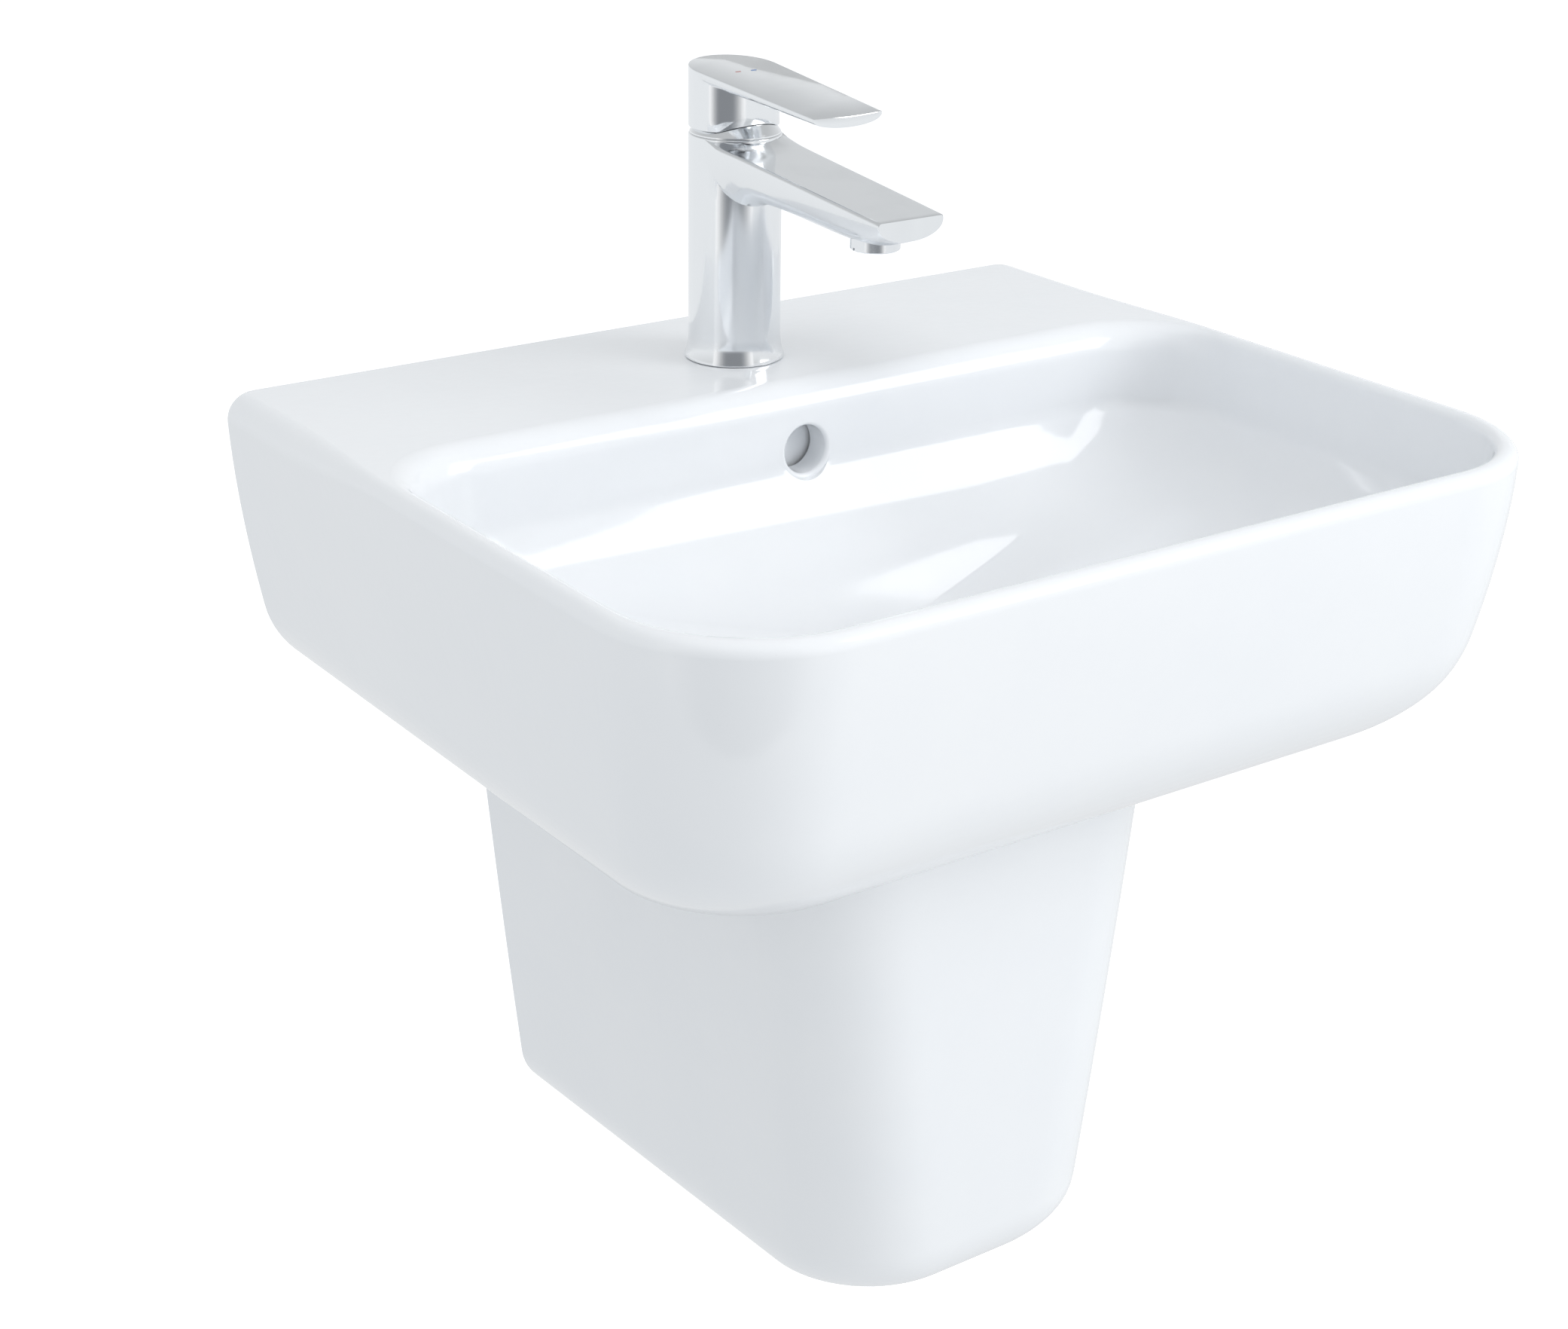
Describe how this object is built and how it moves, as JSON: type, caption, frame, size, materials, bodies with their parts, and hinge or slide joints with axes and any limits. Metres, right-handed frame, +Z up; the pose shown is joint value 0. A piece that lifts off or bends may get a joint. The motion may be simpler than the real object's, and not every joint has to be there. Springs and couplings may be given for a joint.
{
  "type": "pedestal sink",
  "caption": "Wall-hung washbasin on a hollow semi-pedestal, with a single-lever mixer that lifts and swings, a click waste and a bottle trap.",
  "frame": {"origin": "on the wall's face, midway between the two wall bolts of the basin", "axes": "+X to the viewer's right, +Y into the wall, +Z up; the front faces -Y"},
  "size_m": [0.4998, 0.4798, 0.5984],
  "materials": {
    "glaze": "glossy white glaze",
    "chrome": "polished",
    "zinc_steel": "zinc plated",
    "stainless": "bright stainless",
    "brass": "machined",
    "alumina": "lapped",
    "rubber": "matt black",
    "white_plastic": "moulded, semi-gloss",
    "grey_plastic": "moulded",
    "hot_red": "enamel",
    "cold_blue": "enamel"
  },
  "bodies": {
    "basin_assembly": {"basin": "glaze", "semi_pedestal": "glaze", "tap_body": "chrome", "neck_dome": "chrome", "aerator_housing": "chrome", "waste_body": "chrome", "basin_hanger_bolts": "zinc_steel", "basin_bolt_nuts": "zinc_steel", "pedestal_hanger_screws": "zinc_steel", "pedestal_screw_nuts": "zinc_steel", "tap_clamp_plate": "zinc_steel", "click_spring": "stainless", "tap_stud": "brass", "tap_clamp_nut": "brass", "cartridge_nut": "brass", "fixed_disc": "alumina", "tap_base_seal": "rubber", "tap_clamp_gasket": "rubber", "cartridge_seals": "rubber", "aerator_seal": "rubber", "waste_top_seal": "rubber", "waste_under_gasket": "rubber", "trap_inlet_washer": "rubber", "trap_cup_seal": "rubber", "trap_outlet_washer": "rubber", "waste_locknut": "white_plastic", "trap_inlet_nut": "white_plastic", "trap_dip_tube": "white_plastic", "trap_head": "white_plastic", "trap_cup": "white_plastic", "trap_outlet_nut": "white_plastic", "trap_outlet_pipe": "white_plastic", "wall_escutcheon": "white_plastic", "basin_bolt_washers": "white_plastic", "pedestal_screw_washers": "white_plastic", "basin_bolt_sleeves": "white_plastic", "cartridge_base": "grey_plastic", "cartridge_housing": "grey_plastic", "aerator_insert": "grey_plastic", "click_barrel": "grey_plastic"},
    "cartridge_turn": {"cartridge_rotor": "grey_plastic", "rotor_pin": "stainless"},
    "lever": {"cartridge_lever": "grey_plastic", "lever_handle": "chrome", "lever_grub_screw": "zinc_steel", "lever_plug": "grey_plastic", "hot_mark": "hot_red", "cold_mark": "cold_blue"},
    "disc": {"moving_disc": "alumina", "disc_carrier": "grey_plastic"},
    "plug": {"plug_cap": "chrome", "plug_stem": "brass", "plug_seal": "rubber"}
  },
  "joints": [
    {"name": "lever_swing", "type": "hinge", "parent": "basin_assembly", "child": "cartridge_turn", "pos_m": [0, -0.075, 0.175], "axis": [0, 0, 1], "range_deg": [-50, 50]},
    {"name": "lever_lift", "type": "hinge", "parent": "cartridge_turn", "child": "lever", "pos_m": [0, -0.075, 0.175], "axis": [-1, 0, 0], "range_deg": [0, 20]},
    {"name": "disc_slide", "type": "slide", "parent": "cartridge_turn", "child": "disc", "axis": [0, -1, 0], "range_m": [0, 0.0035]},
    {"name": "plug_click", "type": "slide", "parent": "basin_assembly", "child": "plug", "axis": [0, 0, 1], "range_m": [0, 0.008], "deforming": ["click_spring"]}
  ],
  "couplings": [
    {"joint": "disc_slide", "follows": "lever_lift", "m_per_rad": 0.009}
  ]
}
